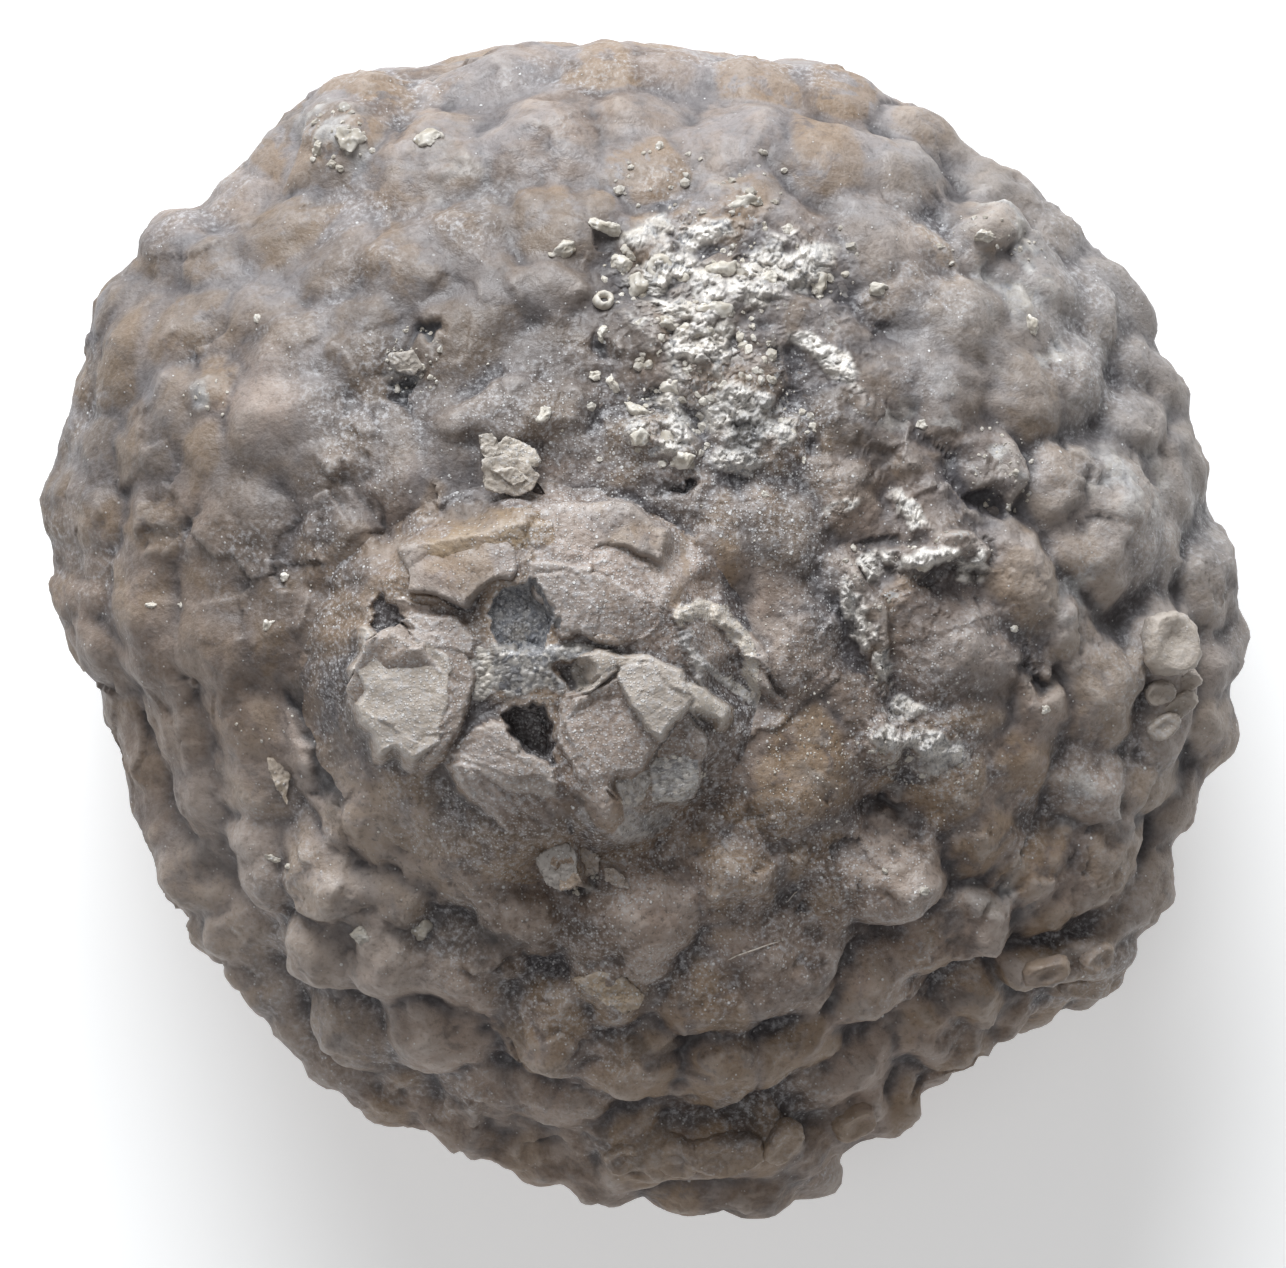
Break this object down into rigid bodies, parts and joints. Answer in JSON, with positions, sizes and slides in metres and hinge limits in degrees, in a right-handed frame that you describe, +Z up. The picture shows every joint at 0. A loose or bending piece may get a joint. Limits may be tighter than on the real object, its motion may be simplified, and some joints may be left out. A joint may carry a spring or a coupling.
{
  "type": "fossil crinoid calyx",
  "caption": "Loose fossil sea lily calyx with a knobby plated dome, a broken stub on its crown, arm stubs round the rim and a stem facet beneath.",
  "frame": {"origin": "on the resting plane, under the middle of the body's box", "axes": "+Z up through the dome, out of the side with the broken stub; +Y towards the back of the specimen, the side with the patch of grit; +X to its right, the side with the large arm stub"},
  "size_m": [0.0301, 0.0295, 0.018],
  "materials": {
    "silicified_crinoid": "waxy grey-brown silicified plates with ochre cores, bluish grooves, pale fresh breaks and a dusting of white grit"
  },
  "bodies": {
    "root": {"calyx": "silicified_crinoid"}
  },
  "joints": []
}
